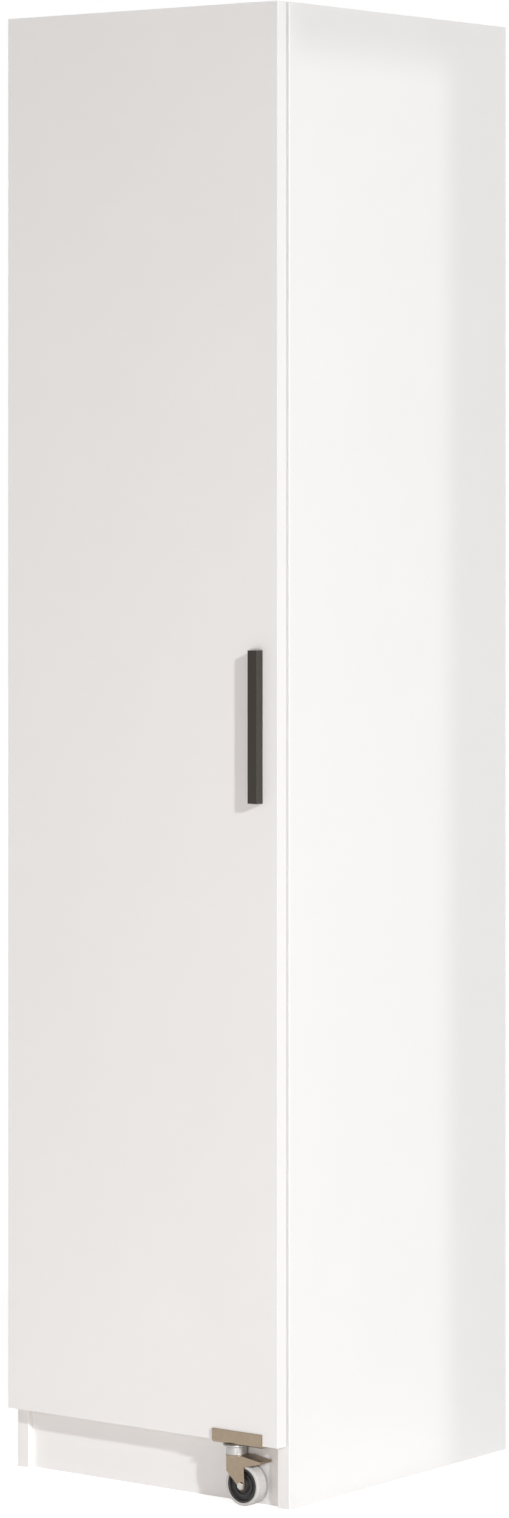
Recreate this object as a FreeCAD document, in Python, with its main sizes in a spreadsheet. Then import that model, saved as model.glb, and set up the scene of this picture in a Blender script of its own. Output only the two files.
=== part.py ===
import FreeCAD, Part
import os
import re
from collections import namedtuple
import Sketcher

# Broom cupboard: a flat-pack carcass, one door on four concealed hinges, and a swivel castor that
# carries the door's free end. Millimetres. X runs to the right, Y to the back and Z up, from the
# centre of the base on the floor. Inside a hinge, u runs inwards from the carcass's outer left face
# and v backwards from the carcass's front edge.

Vector, Rotation, Placement = FreeCAD.Vector, FreeCAD.Rotation, FreeCAD.Placement
doc = FreeCAD.newDocument("broom_cupboard")

sizes = {
    # carcass
    "cupboard_width": 424, "cupboard_height": 1800, "carcass_depth": 454,
    "board": 18, "edging": 1,
    "plinth_height": 78, "plinth_recess": 8, "rail_inset": 30,
    "back_thickness": 3, "back_setback": 12, "groove_depth": 8, "groove_play": 0.15, "back_play": 0.5,
    "shelf_height": 1440, "shelf_setback": 20,
    # cam fittings and dowels
    "cam_radius": 7.4, "cam_height": 13.5, "cam_slot": 1.6, "cam_slot_length": 9, "cam_slot_depth": 2.5,
    "cam_reach": 34, "cam_inset": 50,
    "bolt_head": 3.2, "bolt_head_length": 4, "bolt_neck": 2.4, "bolt_collar": 3.5,
    "bolt_collar_length": 4, "bolt_thread": 2.5, "bolt_thread_length": 11,
    "dowel_radius": 4, "dowel_length": 34, "dowel_in_side": 12, "dowel_inset": 82, "rail_dowel_inset": 18,
    "fit": 0.05, "loose_fit": 0.2, "spare_depth": 0.5, "overcut": 1,
    # wall bracket
    "wall_sheet": 2, "wall_bracket_width": 40, "wall_leg": 30, "wall_hole": 2.75, "wall_hole_drop": 18,
    "wall_screw": 2, "wall_screw_head": 4, "wall_screw_head_height": 1.8, "wall_screw_length": 14,
    "wall_screw_spacing": 24, "wall_screw_set": 15,
    # door
    "door_board": 18, "door_gap": 3, "door_drop": 2, "door_reveal": 2,
    "bumper_radius": 5, "bumper_height": 2.7, "bumper_inset": 30, "bumper_edge": 9,
    # handle
    "handle_width": 14, "handle_depth": 12, "handle_length": 183, "handle_bottom": 843, "handle_edge": 22,
    "handle_face": 3, "handle_wall": 4, "handle_block": 20, "handle_round": 0.8,
    "handle_screw_spacing": 160, "handle_screw": 2, "handle_screw_grip": 7,
    "handle_screw_head": 4, "handle_screw_head_height": 2.4,
    # hinge pins and links
    "hinge_inset": 110,
    "long_arm_u": 39.8, "long_arm_v": 15.8, "long_cup_u": 11.2, "long_cup_v": -6.5,
    "short_arm_u": 35.3, "short_arm_v": -6.0, "short_cup_u": 14.7, "short_cup_v": -10.1,
    "link_half_width": 2.5, "link_thickness": 4, "link_parting": 0.3,
    "long_link_bend": 9, "short_link_bend": 2.6,
    "link_pin": 1.25, "pin_parting": 0.05, "eye_shift_u": -0.39, "eye_shift_v": -0.92, "eye_play": 1.15,
    "eye_rim": 1.2,
    # hinge cup
    "cup_radius": 17.5, "cup_centre": 22.5, "cup_depth": 13, "cup_floor": 1, "cup_flange": 1.2,
    "cup_flange_radius": 19, "cup_wing_rise": 31, "cup_wing_width": 12,
    "cup_slot_near": 6.2, "cup_slot_step": 30, "cup_slot_far": 38.2,
    "cup_pin_seat": 3, "cup_screw_rise": 24, "cup_screw_shift": 6,
    "cup_screw": 1.75, "cup_screw_head": 3.2, "cup_screw_head_height": 0.5, "cup_screw_length": 12,
    # hinge arm and mounting plate
    "arm_sheet": 1.2, "arm_top": 44.5, "arm_low": 22, "arm_nose": 2.5, "arm_shoulder": 12, "arm_throat": 12,
    "arm_web": 20, "arm_back": 80, "arm_screw": 2, "arm_screw_head": 4, "arm_screw_head_height": 1.8,
    "arm_screw_length": 16, "arm_screw_front": 40, "arm_screw_back": 66, "rivet": 0.6,
    "plate_front": 24, "plate_wing": 2.5, "plate_wing_rise": 24, "plate_wing_width": 12,
    "plate_screw_set": 37, "plate_screw_rise": 16, "plate_screw": 3.1, "plate_screw_head": 4.5,
    "plate_screw_head_height": 1.2, "plate_screw_length": 14.5,
    # castor bracket and swivel
    "bracket_length": 75, "bracket_edge": 22.5, "bracket_sheet": 2.5, "bracket_lip": 16.5,
    "bracket_reach": 28.5, "bracket_bend": 1.5, "bracket_screw": 2, "bracket_screw_head": 3.5,
    "bracket_screw_head_height": 2, "bracket_screw_length": 25, "bracket_screw_inset": 6.5,
    "kingpin_in": 48.5, "kingpin_back": 12, "kingpin": 4, "kingpin_head": 7, "kingpin_head_height": 2.4,
    "race_radius": 16, "race_height": 3.7, "race_round": 1.2, "swivel_gap": 0.3,
    "ball_radius": 1.6, "ball_pitch": 9.5, "ball_sink": 0.8,
    "housing_radius": 12.5, "housing_height": 9.5, "housing_round": 1,
    # castor fork
    "fork_sheet": 1.8, "fork_gap": 9.4, "fork_crown": 2.5, "fork_front": 7, "fork_heel": 41,
    "fork_boss": 5.5, "fork_waist": 19, "fork_waist_height": 47.5, "hood_start": 19, "hood_end": 44,
    "hood_drop": 3.5, "hood_thickness": 3,
    # castor wheel
    "trail": 15, "wheel_radius": 25, "wheel_width": 18, "tyre_thickness": 4, "tyre_round": 2,
    "hub_web": 10, "hub_rim": 2.5, "hub_boss": 8, "hub_taper": 1.5,
    "bush_radius": 5, "axle_radius": 3, "axle_flats": 8, "axle_head": 1.8,
}
hinges = 4
balls = 12

# Places that follow from the sizes.
places = {
    "half_width": "cupboard_width / 2",
    "inner_half": "half_width - board",
    "door_half": "half_width - door_reveal",
    "rear": "(handle_depth + door_board + door_gap + carcass_depth) / 2",
    "front": "rear - carcass_depth",
    "back_rear": "rear - back_setback",
    "back_front": "back_rear - back_thickness",
    "top_under": "cupboard_height - board",
    "bottom_top": "plinth_height + board",
    "door_back": "front - door_gap",
    "door_front": "door_back - door_board",
    "door_bottom": "plinth_height - door_drop",
    "door_height": "cupboard_height - door_bottom",
    "handle_right": "door_half - handle_edge",
    "handle_left": "handle_right - handle_width",
    "handle_middle": "(handle_left + handle_right) / 2",
    "handle_front": "door_front - handle_depth",
    "handle_top": "handle_bottom + handle_length",
    "link_outer": "link_parting + link_thickness",
    "cheek_inner": "link_outer + swivel_gap",
    "cheek_outer": "cheek_inner + arm_sheet",
    "spine_top": "arm_top - arm_sheet - loose_fit",
    "bracket_right": "door_half - bracket_edge",
    "bracket_left": "bracket_right - bracket_length",
    "bracket_under": "door_bottom - bracket_sheet",
    "bracket_front": "door_front - bracket_sheet",
    "kingpin_x": "bracket_right - kingpin_in",
    "kingpin_y": "door_front + kingpin_back",
    "race_under": "bracket_under - race_height",
    "housing_top": "race_under - swivel_gap",
    "fork_top": "housing_top - housing_height",
    "crown_under": "fork_top - fork_crown",
    "fork_outer": "fork_gap + fork_sheet",
    "hub_radius": "wheel_radius - tyre_thickness",
    "ball_height": "race_under + ball_sink",
}

sheet = doc.addObject("Spreadsheet::Sheet", "dim")
for row, (alias, number) in enumerate(sizes.items(), start=1):
    sheet.set(f"A{row}", alias)
    sheet.set(f"B{row}", str(number))
    sheet.setAlias(f"B{row}", alias)
doc.recompute()


def formula(text):
    """Spell a text of sizes and places as an expression on the sheet."""
    def spell(word):
        name = word.group()
        if name in places:
            return f"({formula(places[name])})"
        return f"dim.{name}" if name in sizes else name
    return re.sub(r"[a-z_]+", spell, text)


def value(text):
    return float(sheet.evalExpression(formula(text)))


def bind(piece, **texts):
    for name, text in texts.items():
        piece.setExpression(name, formula(text))


def move(piece, x, y, z):
    for axis, text in zip("xyz", (x, y, z)):
        piece.setExpression(f"Placement.Base.{axis}", formula(text))


def mirrored(sign, near, far):
    """A span along X on the right side, or its mirror image on the left."""
    return (near, far) if sign > 0 else (f"-({far})", f"-({near})")


def signed(sign, text):
    return text if sign > 0 else f"-({text})"


# Plain solids and their booleans.
towards = {
    "+x": Rotation(Vector(0, 0, 1), Vector(1, 0, 0)), "-x": Rotation(Vector(0, 0, 1), Vector(-1, 0, 0)),
    "+y": Rotation(Vector(0, 0, 1), Vector(0, 1, 0)), "-y": Rotation(Vector(0, 0, 1), Vector(0, -1, 0)),
    "+z": Rotation(), "-z": Rotation(Vector(1, 0, 0), 180), "turned": Rotation(Vector(0, 0, 1), 180),
}


def box(label, x, y, z):
    piece = doc.addObject("Part::Box", label)
    lengths = [f"({high}) - ({low})" for low, high in (x, y, z)]
    bind(piece, Length=lengths[0], Width=lengths[1], Height=lengths[2])
    move(piece, x[0], y[0], z[0])
    return piece


def rod(label, way, radius, length, x, y, z):
    piece = doc.addObject("Part::Cylinder", label)
    piece.Placement = Placement(Vector(), towards[way])
    bind(piece, Radius=radius, Height=length)
    move(piece, x, y, z)
    return piece


def group(label, pieces):
    piece = doc.addObject("Part::Compound", label)
    piece.Links = pieces
    return piece


def cut(label, base, tools):
    piece = doc.addObject("Part::Cut", label)
    piece.Base = base
    piece.Tool = group(f"{label}_cuts", tools)
    return piece


def copies(label, master, spots):
    """One node of identical pieces: each spot is a direction and a place."""
    links = []
    for way, x, y, z in spots:
        link = doc.addObject("App::Link", f"{label}_one")
        link.LinkedObject = master
        link.Placement = Placement(Vector(), towards[way])
        move(link, x, y, z)
        links.append(link)
    return group(label, links)


# Sketched solids. An outline lists corners; a Via between two corners bends that side into an arc.
Via = namedtuple("Via", "x y")
Disc = namedtuple("Disc", "x y radius")


class Body:
    def __init__(self, label, x="0", y="0", z="0"):
        self.label = label
        self.body = doc.addObject("PartDesign::Body", label)
        move(self.body, x, y, z)

    def fix(self, sketch, element, point, x, y):
        for kind, text in (("DistanceX", x), ("DistanceY", y)):
            number = sketch.addConstraint(Sketcher.Constraint(kind, -1, 1, element, point, value(text)))
            sketch.setExpression(f"Constraints[{number}]", formula(text))

    def sketch(self, plane, outline, level):
        sketch = self.body.newObject("Sketcher::SketchObject", f"{self.label}_sketch")
        support = next(item for item in self.body.Origin.OriginFeatures if item.Role == f"{plane}_Plane")
        sketch.AttachmentSupport = [(support, "")]
        sketch.MapMode = "FlatFace"
        sketch.setExpression("AttachmentOffset.Base.z", formula(level))
        if isinstance(outline, Disc):
            self.draw_disc(sketch, outline)
        else:
            self.draw_outline(sketch, outline)
        return sketch

    def draw_disc(self, sketch, disc):
        centre = Vector(value(disc.x), value(disc.y), 0)
        circle = sketch.addGeometry(Part.Circle(centre, Vector(0, 0, 1), value(disc.radius)))
        self.fix(sketch, circle, 3, disc.x, disc.y)
        radius = sketch.addConstraint(Sketcher.Constraint("Radius", circle, value(disc.radius)))
        sketch.setExpression(f"Constraints[{radius}]", formula(disc.radius))

    def draw_outline(self, sketch, outline):
        corners = [point for point in outline if not isinstance(point, Via)]
        bends = {}
        for place, point in enumerate(outline):
            if isinstance(point, Via):
                bends[corners.index(outline[place - 1])] = point
        spots = [Vector(value(x), value(y), 0) for x, y in corners]
        ends = []
        for side, start in enumerate(spots):
            stop = spots[(side + 1) % len(spots)]
            if side not in bends:
                ends.append((sketch.addGeometry(Part.LineSegment(start, stop)), 1, 2))
                continue
            middle = Vector(value(bends[side].x), value(bends[side].y), 0)
            arc = sketch.addGeometry(Part.Arc(start, middle, stop))
            first = 1 if sketch.getPoint(arc, 1).distanceToPoint(start) < 1e-6 else 2
            ends.append((arc, first, 3 - first))
        for side, (element, _, last) in enumerate(ends):
            following, first, _ = ends[(side + 1) % len(ends)]
            sketch.addConstraint(Sketcher.Constraint("Coincident", element, last, following, first))
        for (element, first, _), (x, y) in zip(ends, corners):
            self.fix(sketch, element, first, x, y)
        for side, via in bends.items():
            mark = sketch.addGeometry(Part.Point(Vector(value(via.x), value(via.y), 0)), True)
            self.fix(sketch, mark, 1, via.x, via.y)
            sketch.addConstraint(Sketcher.Constraint("PointOnObject", mark, 1, ends[side][0]))

    def feature(self, kind, plane, outline, level, length, both):
        sketch = self.sketch(plane, outline, level)
        feature = self.body.newObject(f"PartDesign::{kind}", f"{self.label}_{kind.lower()}")
        feature.Profile = sketch
        feature.setExpression("Length", formula(length))
        feature.Midplane = both
        return feature

    def pad(self, plane, outline, length, level="0", both=False):
        self.feature("Pad", plane, outline, level, length, both)
        return self

    def pocket(self, plane, outline, length, level="0", both=False):
        """Without both, the pocket runs against the plane's normal from its level."""
        self.feature("Pocket", plane, outline, level, length, both)
        return self

    def turn(self, outline, plane="XZ", axis="V_Axis", kind="Revolution"):
        sketch = self.sketch(plane, outline, "0")
        feature = self.body.newObject(f"PartDesign::{kind}", f"{self.label}_{kind.lower()}")
        feature.Profile = sketch
        feature.ReferenceAxis = (sketch, [axis])
        feature.Angle = 360
        return self

    def round_edges(self, radius, wanted):
        doc.recompute()
        last = self.body.Tip
        names = [f"Edge{place}" for place, edge in enumerate(last.Shape.Edges, start=1) if wanted(edge)]
        feature = self.body.newObject("PartDesign::Fillet", f"{self.label}_rounding")
        feature.Base = (last, names)
        feature.setExpression("Radius", formula(radius))
        return self


def screw(label, shank, head, head_height, length):
    """A screw along Z with its head upwards; Z = 0 is the face that the head is seated on."""
    outline = [("0", f"-({length})"), (shank, f"-({length})"), (shank, "0"), (head, "0"),
               (head, head_height), ("0", head_height)]
    return Body(label).turn(outline).body


def hexagon(x, y, flats):
    return [(f"{x} + {flats} / sqrt(3) * cos({angle})", f"{y} + {flats} / sqrt(3) * sin({angle})")
            for angle in range(0, 360, 60)]


nodes = []


def node(piece):
    nodes.append(piece.body if isinstance(piece, Body) else piece)


# The boards between the sides: front edge, rear edge and underside.
boards = {
    "bottom_panel": ("front", "rear", "plinth_height"),
    "fixed_shelf": ("front + shelf_setback", "back_front - back_play", "shelf_height"),
    "top_panel": ("front", "rear", "top_under"),
}
rails = {"plinth_board": "front + plinth_recess", "rear_plinth_rail": "rear - rail_inset - board"}
sides = {"left": -1, "right": 1}

cams = {}    # where each board's cam bolts leave the sides: sign, y, z
pegs = {}    # the same for the dowels
for label, (near, far, under) in boards.items():
    middle = f"{under} + board / 2"
    cams[label] = [(sign, y, middle) for sign in sides.values()
                   for y in (f"{near} + cam_inset", "back_front - cam_inset")]
    pegs[label] = [(sign, y, middle) for sign in sides.values()
                   for y in (f"{near} + dowel_inset", "back_front - dowel_inset")]
for label, face in rails.items():
    pegs[label] = [(sign, f"{face} + board / 2", z) for sign in sides.values()
                   for z in ("rail_dowel_inset", "plinth_height - rail_dowel_inset")]


def joint_bores(label):
    """The holes for dowels and cam fittings in the ends of a board or rail."""
    holes = []
    for sign, y, z in pegs[label]:
        low, high = mirrored(sign, "inner_half - dowel_length + dowel_in_side - spare_depth", "inner_half")
        holes.append(rod(f"{label}_dowel_bore", "+x", "dowel_radius", f"({high}) - ({low})", low, y, z))
    for sign, y, z in cams.get(label, []):
        low, high = mirrored(sign, "inner_half - cam_reach", "inner_half")
        holes.append(rod(f"{label}_bolt_bore", "+x", "bolt_collar + fit", f"({high}) - ({low})", low, y, z))
        holes.append(rod(f"{label}_cam_bore", "+z", "cam_radius + fit", "cam_height + spare_depth",
                         signed(sign, "inner_half - cam_reach"), y, f"{z} - board / 2"))
    return holes


# Hinge heights, and the places along the door that its fittings need.
hinge_heights = [f"door_bottom + hinge_inset + {step} / {hinges - 1} * (door_height - 2 * hinge_inset)"
                 for step in range(hinges)]
plate_spots = [f"{z} + {way} * plate_screw_rise" for z in hinge_heights for way in (-1, 1)]

# Side panels, with the groove for the back and the holes for fittings, dowels and hinge plates.
for side, sign in sides.items():
    label = f"side_panel_{side}"
    core = box(f"{label}_core", mirrored(sign, "inner_half", "half_width"), ("front + edging", "rear"),
               ("0", "cupboard_height"))
    tools = [box(f"{label}_groove", mirrored(sign, "inner_half", "inner_half + groove_depth"),
                 ("back_front - groove_play", "back_rear + groove_play"),
                 ("bottom_top - groove_depth", "top_under + groove_depth"))]
    for _, y, z in [spot for spots in pegs.values() for spot in spots if spot[0] == sign]:
        low, high = mirrored(sign, "inner_half", "inner_half + dowel_in_side + spare_depth")
        tools.append(rod(f"{label}_dowel_hole", "+x", "dowel_radius", f"({high}) - ({low})", low, y, z))
    for _, y, z in [spot for spots in cams.values() for spot in spots if spot[0] == sign]:
        low, high = mirrored(sign, "inner_half", "inner_half + bolt_thread_length + spare_depth")
        tools.append(rod(f"{label}_bolt_hole", "+x", "bolt_thread", f"({high}) - ({low})", low, y, z))
    for z in plate_spots if side == "left" else []:
        depth = "plate_screw_length - plate_wing + spare_depth"
        tools.append(rod(f"{label}_plate_hole", "-x", "plate_screw", depth,
                         "-inner_half", "front + plate_screw_set", z))
    node(cut(label, core, tools))

# Boards between the sides, with the groove in those that hold the back.
across = ("-inner_half", "inner_half")
for label, (near, far, under) in boards.items():
    core = box(f"{label}_core", across, (f"{near} + edging", far), (under, f"{under} + board"))
    tools = joint_bores(label)
    grooves = {"bottom_panel": ("bottom_top - groove_depth", "bottom_top"),
               "top_panel": ("top_under", "top_under + groove_depth")}
    if label in grooves:
        tools.append(box(f"{label}_groove", across,
                         ("back_front - groove_play", "back_rear + groove_play"), grooves[label]))
    if label == "top_panel":
        for x in ("-wall_screw_spacing / 2", "wall_screw_spacing / 2"):
            tools.append(rod("top_panel_screw_hole", "+z", "wall_screw",
                             "wall_screw_length - wall_sheet + spare_depth",
                             x, "back_front - wall_screw_set", "top_under"))
    node(cut(label, core, tools))

for label, face in rails.items():
    core = box(f"{label}_core", across, (face, f"{face} + board"), ("0", "plinth_height"))
    node(cut(label, core, joint_bores(label)))

back_half = "inner_half + groove_depth - back_play"
back = box("back_panel_core", (f"-({back_half})", back_half), ("back_front", "back_rear"),
           ("bottom_top - groove_depth + back_play", "top_under + groove_depth - back_play"))
node(cut("back_panel", back, [rod("back_panel_hole", "+y", "wall_hole", "back_thickness",
                                  "0", "back_front", "top_under - wall_hole_drop")]))

edging = [box("side_edging", mirrored(sign, "inner_half", "half_width"), ("front", "front + edging"),
              ("0", "cupboard_height")) for sign in sides.values()]
edging += [box("board_edging", across, (near, f"{near} + edging"), (under, f"{under} + board"))
           for near, far, under in boards.values()]
node(group("carcass_edging", edging))

# Fittings that hold the boards together.
bolt = Body("cam_bolt").turn([
    ("0", "-cam_reach"), ("bolt_head", "-cam_reach"), ("bolt_head", "bolt_head_length - cam_reach"),
    ("bolt_neck", "bolt_head_length - cam_reach"), ("bolt_neck", "-bolt_collar_length"),
    ("bolt_collar", "-bolt_collar_length"), ("bolt_collar", "0"), ("bolt_thread", "0"),
    ("bolt_thread", "bolt_thread_length"), ("0", "bolt_thread_length")])
dowel = Body("dowel").turn([
    ("0", "dowel_in_side - dowel_length"), ("dowel_radius", "dowel_in_side - dowel_length"),
    ("dowel_radius", "dowel_in_side"), ("0", "dowel_in_side")])
half_slot = ("-cam_slot / 2", "cam_slot / 2")
long_slot = ("-cam_slot_length / 2", "cam_slot_length / 2")
cam = cut("cam", rod("cam_drum", "+z", "cam_radius", "cam_height", "0", "0", "0"), [
    rod("cam_cavity", "+x", "bolt_head + loose_fit", "cam_radius + spare_depth", "-spare_depth", "0",
        "board / 2"),
    box("cam_slot_across", half_slot, long_slot, ("0", "cam_slot_depth")),
    box("cam_slot_along", long_slot, half_slot, ("0", "cam_slot_depth"))])

cam_spots = [spot for spots in cams.values() for spot in spots]
peg_spots = [spot for spots in pegs.values() for spot in spots]
node(copies("cam_locks", cam, [("+z" if sign > 0 else "turned", signed(sign, "inner_half - cam_reach"), y,
                                f"{z} - board / 2") for sign, y, z in cam_spots]))
node(copies("cam_bolts", bolt.body, [("+x" if sign > 0 else "-x", signed(sign, "inner_half"), y, z)
                                     for sign, y, z in cam_spots]))
node(copies("dowels", dowel.body, [("+x" if sign > 0 else "-x", signed(sign, "inner_half"), y, z)
                                   for sign, y, z in peg_spots]))

# Bracket under the top panel that holds the cupboard to a wall.
wall_front = "back_front - wall_sheet"
wall_bracket = Body("wall_bracket").pad("YZ", [
    ("back_front", "top_under"), ("back_front", "top_under - wall_leg"), (wall_front, "top_under - wall_leg"),
    (wall_front, "top_under - wall_sheet"), ("back_front - wall_leg", "top_under - wall_sheet"),
    ("back_front - wall_leg", "top_under")], "wall_bracket_width", both=True)
wall_bracket.pocket("XZ", Disc("0", "top_under - wall_hole_drop", "wall_hole"), "wall_leg",
                    level="-(back_front) + wall_leg / 2")
for x in ("-wall_screw_spacing / 2", "wall_screw_spacing / 2"):
    wall_bracket.pocket("XY", Disc(x, "back_front - wall_screw_set", "wall_screw + fit"), "wall_sheet",
                        level="top_under")
node(wall_bracket)
wall_screw = screw("wall_screw", "wall_screw", "wall_screw_head", "wall_screw_head_height",
                   "wall_screw_length")
node(copies("wall_bracket_screws", wall_screw, [
    ("-z", x, "back_front - wall_screw_set", "top_under - wall_sheet")
    for x in ("-wall_screw_spacing / 2", "wall_screw_spacing / 2")]))

# Door panel, edging and bumpers.
handle_spots = [f"(handle_bottom + handle_top) / 2 + {way} * handle_screw_spacing / 2" for way in (-1, 1)]
cup_spots = [f"{z} + {way} * cup_screw_rise" for z in hinge_heights for way in (-1, 1)]
cup_screw_x = "cup_centre + cup_screw_shift - half_width"
bracket_spots = ["bracket_left + bracket_screw_inset", "bracket_right - bracket_screw_inset"]
door_middle = "(door_front + door_back) / 2"
bracket_hole = "bracket_screw_length - bracket_sheet + spare_depth"
door_cuts = [rod("door_cup_hole", "-y", "cup_radius + fit", "cup_depth + spare_depth",
                 "cup_centre - half_width", "door_back", z) for z in hinge_heights]
door_cuts += [rod("door_cup_screw_hole", "-y", "cup_screw", "cup_screw_length", cup_screw_x, "door_back", z)
              for z in cup_spots]
door_cuts += [rod("door_handle_hole", "-y", "handle_screw + loose_fit", "door_board",
                  "handle_middle", "door_back", z) for z in handle_spots]
door_cuts += [rod("door_bracket_hole", "+z", "bracket_screw", bracket_hole, x, door_middle, "door_bottom")
              for x in bracket_spots]
door_across = ("edging - door_half", "door_half - edging")
door_deep = ("door_front", "door_back")
door_tall = ("door_bottom", "cupboard_height")
door_core = box("door_core", door_across, door_deep, ("door_bottom + edging", "cupboard_height - edging"))
node(cut("door_panel", door_core, door_cuts))

lower_edging = cut("door_lower_edging", box("door_lower_strip", door_across, door_deep,
                                            ("door_bottom", "door_bottom + edging")),
                   [rod("door_edging_hole", "+z", "bracket_screw", "edging", x, door_middle, "door_bottom")
                    for x in bracket_spots])
node(group("door_edging", [
    box("door_left_edging", ("-door_half", "edging - door_half"), door_deep, door_tall),
    box("door_right_edging", ("door_half - edging", "door_half"), door_deep, door_tall),
    box("door_upper_edging", door_across, door_deep, ("cupboard_height - edging", "cupboard_height")),
    lower_edging]))
bumper = Body("bumper").turn([
    ("0", "0"), ("bumper_radius", "0"), ("bumper_radius", "bumper_height / 2"),
    ("bumper_radius / 2", "bumper_height"), ("0", "bumper_height")])
node(copies("door_bumpers", bumper.body, [("+y", "half_width - bumper_edge", "door_back", z) for z in (
    "door_bottom + bumper_inset", "cupboard_height - bumper_inset")]))

# Handle: a bar, hollowed from the hinge side and the back between two solid end blocks.
handle = Body("handle").pad("XY", [
    ("handle_left", "door_front"), ("handle_left", "handle_front"), ("handle_right", "handle_front"),
    ("handle_right", "door_front")], "handle_length", level="handle_bottom")
handle.round_edges("handle_round", lambda edge: abs(edge.tangentAt(0).z) > 0.9
                   and edge.BoundBox.YMax < value("door_front") - 1)
handle.pocket("XY", [
    ("handle_left - overcut", "door_front + overcut"),
    ("handle_left - overcut", "handle_front + handle_face"),
    ("handle_right - handle_wall", "handle_front + handle_face"),
    ("handle_right - handle_wall", "door_front + overcut")],
    "handle_length - 2 * handle_block", level="handle_top - handle_block")
for z in handle_spots:
    handle.pocket("XZ", Disc("handle_middle", z, "handle_screw"), "handle_screw_grip + spare_depth",
                  level="-(door_front) + handle_screw_grip + spare_depth")
node(handle)
handle_screw = screw("handle_screw", "handle_screw", "handle_screw_head", "handle_screw_head_height",
                     "door_board + handle_screw_grip")
node(copies("handle_screws", handle_screw, [("+y", "handle_middle", "door_back", z) for z in handle_spots]))

# Hinges.
long_arm, long_cup = ("long_arm_u", "long_arm_v"), ("long_cup_u", "long_cup_v")
short_arm, short_cup = ("short_arm_u", "short_arm_v"), ("short_cup_u", "short_cup_v")
short_eye = ("short_cup_u + eye_shift_u", "short_cup_v + eye_shift_v")


def beside(start, stop, share, ahead, aside):
    """A point at a share of the way from start to stop, then so far ahead and to the left of it."""
    run, rise = f"({stop[0]} - ({start[0]}))", f"({stop[1]} - ({start[1]}))"
    length = f"sqrt({run} ^ 2 + {rise} ^ 2)"
    return (f"{start[0]} + {share} * {run} + (({ahead}) * {run} - ({aside}) * {rise}) / {length}",
            f"{start[1]} + {share} * {rise} + (({ahead}) * {rise} + ({aside}) * {run}) / {length}")


def hinge_link(label, arm_pin, cup_pin, bend, cup_end, eye, low, z):
    """A bent link from the arm's pin to the cup's pin, with a round end at each."""
    half = "link_half_width"
    bar = [beside(arm_pin, cup_pin, 0, "0", f"-{half}"),
           Via(*beside(arm_pin, cup_pin, 0.5, "0", f"{bend} - {half}")),
           beside(arm_pin, cup_pin, 1, "0", f"-{half}"),
           beside(arm_pin, cup_pin, 1, "0", half),
           Via(*beside(arm_pin, cup_pin, 0.5, "0", f"{bend} + {half}")),
           beside(arm_pin, cup_pin, 0, "0", half)]
    link = Body(label, "-half_width", "front", z)
    link.pad("XY", bar, "link_thickness", level=low)
    link.pad("XY", Disc(*arm_pin, "link_pin + fit + eye_rim"), "link_thickness", level=low)
    link.pad("XY", Disc(*cup_end, f"{eye} + eye_rim"), "link_thickness", level=low)
    link.pocket("XY", Disc(*arm_pin, "link_pin + fit"), "4 * link_thickness", both=True)
    link.pocket("XY", Disc(*cup_end, eye), "4 * link_thickness", both=True)
    node(link)


def hinge_plate(label, z):
    plate = Body(label, "-half_width", "front", z)
    wing = [("board", "plate_screw_set - plate_wing_width / 2"),
            ("board + plate_wing", "plate_screw_set - plate_wing_width / 2"),
            ("board + plate_wing", "plate_screw_set + plate_wing_width / 2"),
            ("board", "plate_screw_set + plate_wing_width / 2")]
    spine = [("board", "plate_front"), ("spine_top", "plate_front"), ("spine_top", "arm_back"),
             ("board", "arm_back")]
    plate.pad("XY", spine, "2 * (cheek_inner - swivel_gap)", both=True)
    plate.pad("XY", wing, "2 * plate_wing_rise", both=True)
    for way in (-1, 1):
        hole = Disc("plate_screw_set", f"{way} * plate_screw_rise", "plate_screw + fit")
        plate.pocket("YZ", hole, "board + plate_wing", level="board + plate_wing")
    for v in ("arm_screw_front", "arm_screw_back"):
        plate.pocket("YZ", Disc(v, "0", "arm_screw"), "arm_screw_length", level="arm_top")
    node(plate)


def hinge_arm(label, z):
    """A channel over the plate's spine, whose two cheeks carry the links' pins."""
    arm = Body(label, "-half_width", "front", z)
    cheek = [("short_arm_u - arm_nose", "short_arm_v"), ("short_arm_u + arm_nose", "short_arm_v"),
             ("short_arm_u + arm_nose", "0"), ("arm_top", "arm_shoulder"), ("arm_top", "arm_back"),
             ("arm_low", "arm_back"), ("arm_low", "plate_front"), ("short_arm_u - arm_nose", "arm_throat")]
    channel = [("0", "-arm_back"), ("arm_top + arm_sheet", "-arm_back"), ("arm_top + arm_sheet", "arm_web"),
               ("arm_top - arm_sheet", "arm_web"), ("arm_top - arm_sheet", "2 * arm_back"),
               ("0", "2 * arm_back")]
    arm.pad("XY", cheek, "2 * cheek_outer", both=True)
    arm.pad("XY", Disc(*short_arm, "arm_nose"), "2 * cheek_outer", both=True)
    arm.pocket("XY", channel, "2 * cheek_inner", both=True)
    arm.pocket("XY", Disc(*long_arm, "link_pin + fit"), "4 * cheek_outer", both=True)
    arm.pocket("XY", Disc(*short_arm, "link_pin + fit"), "2 * cheek_outer", level="2 * cheek_outer")
    for v in ("arm_screw_front", "arm_screw_back"):
        arm.pocket("YZ", Disc(v, "0", "arm_screw + loose_fit"), "2 * arm_sheet", level="arm_top")
    node(arm)


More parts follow.
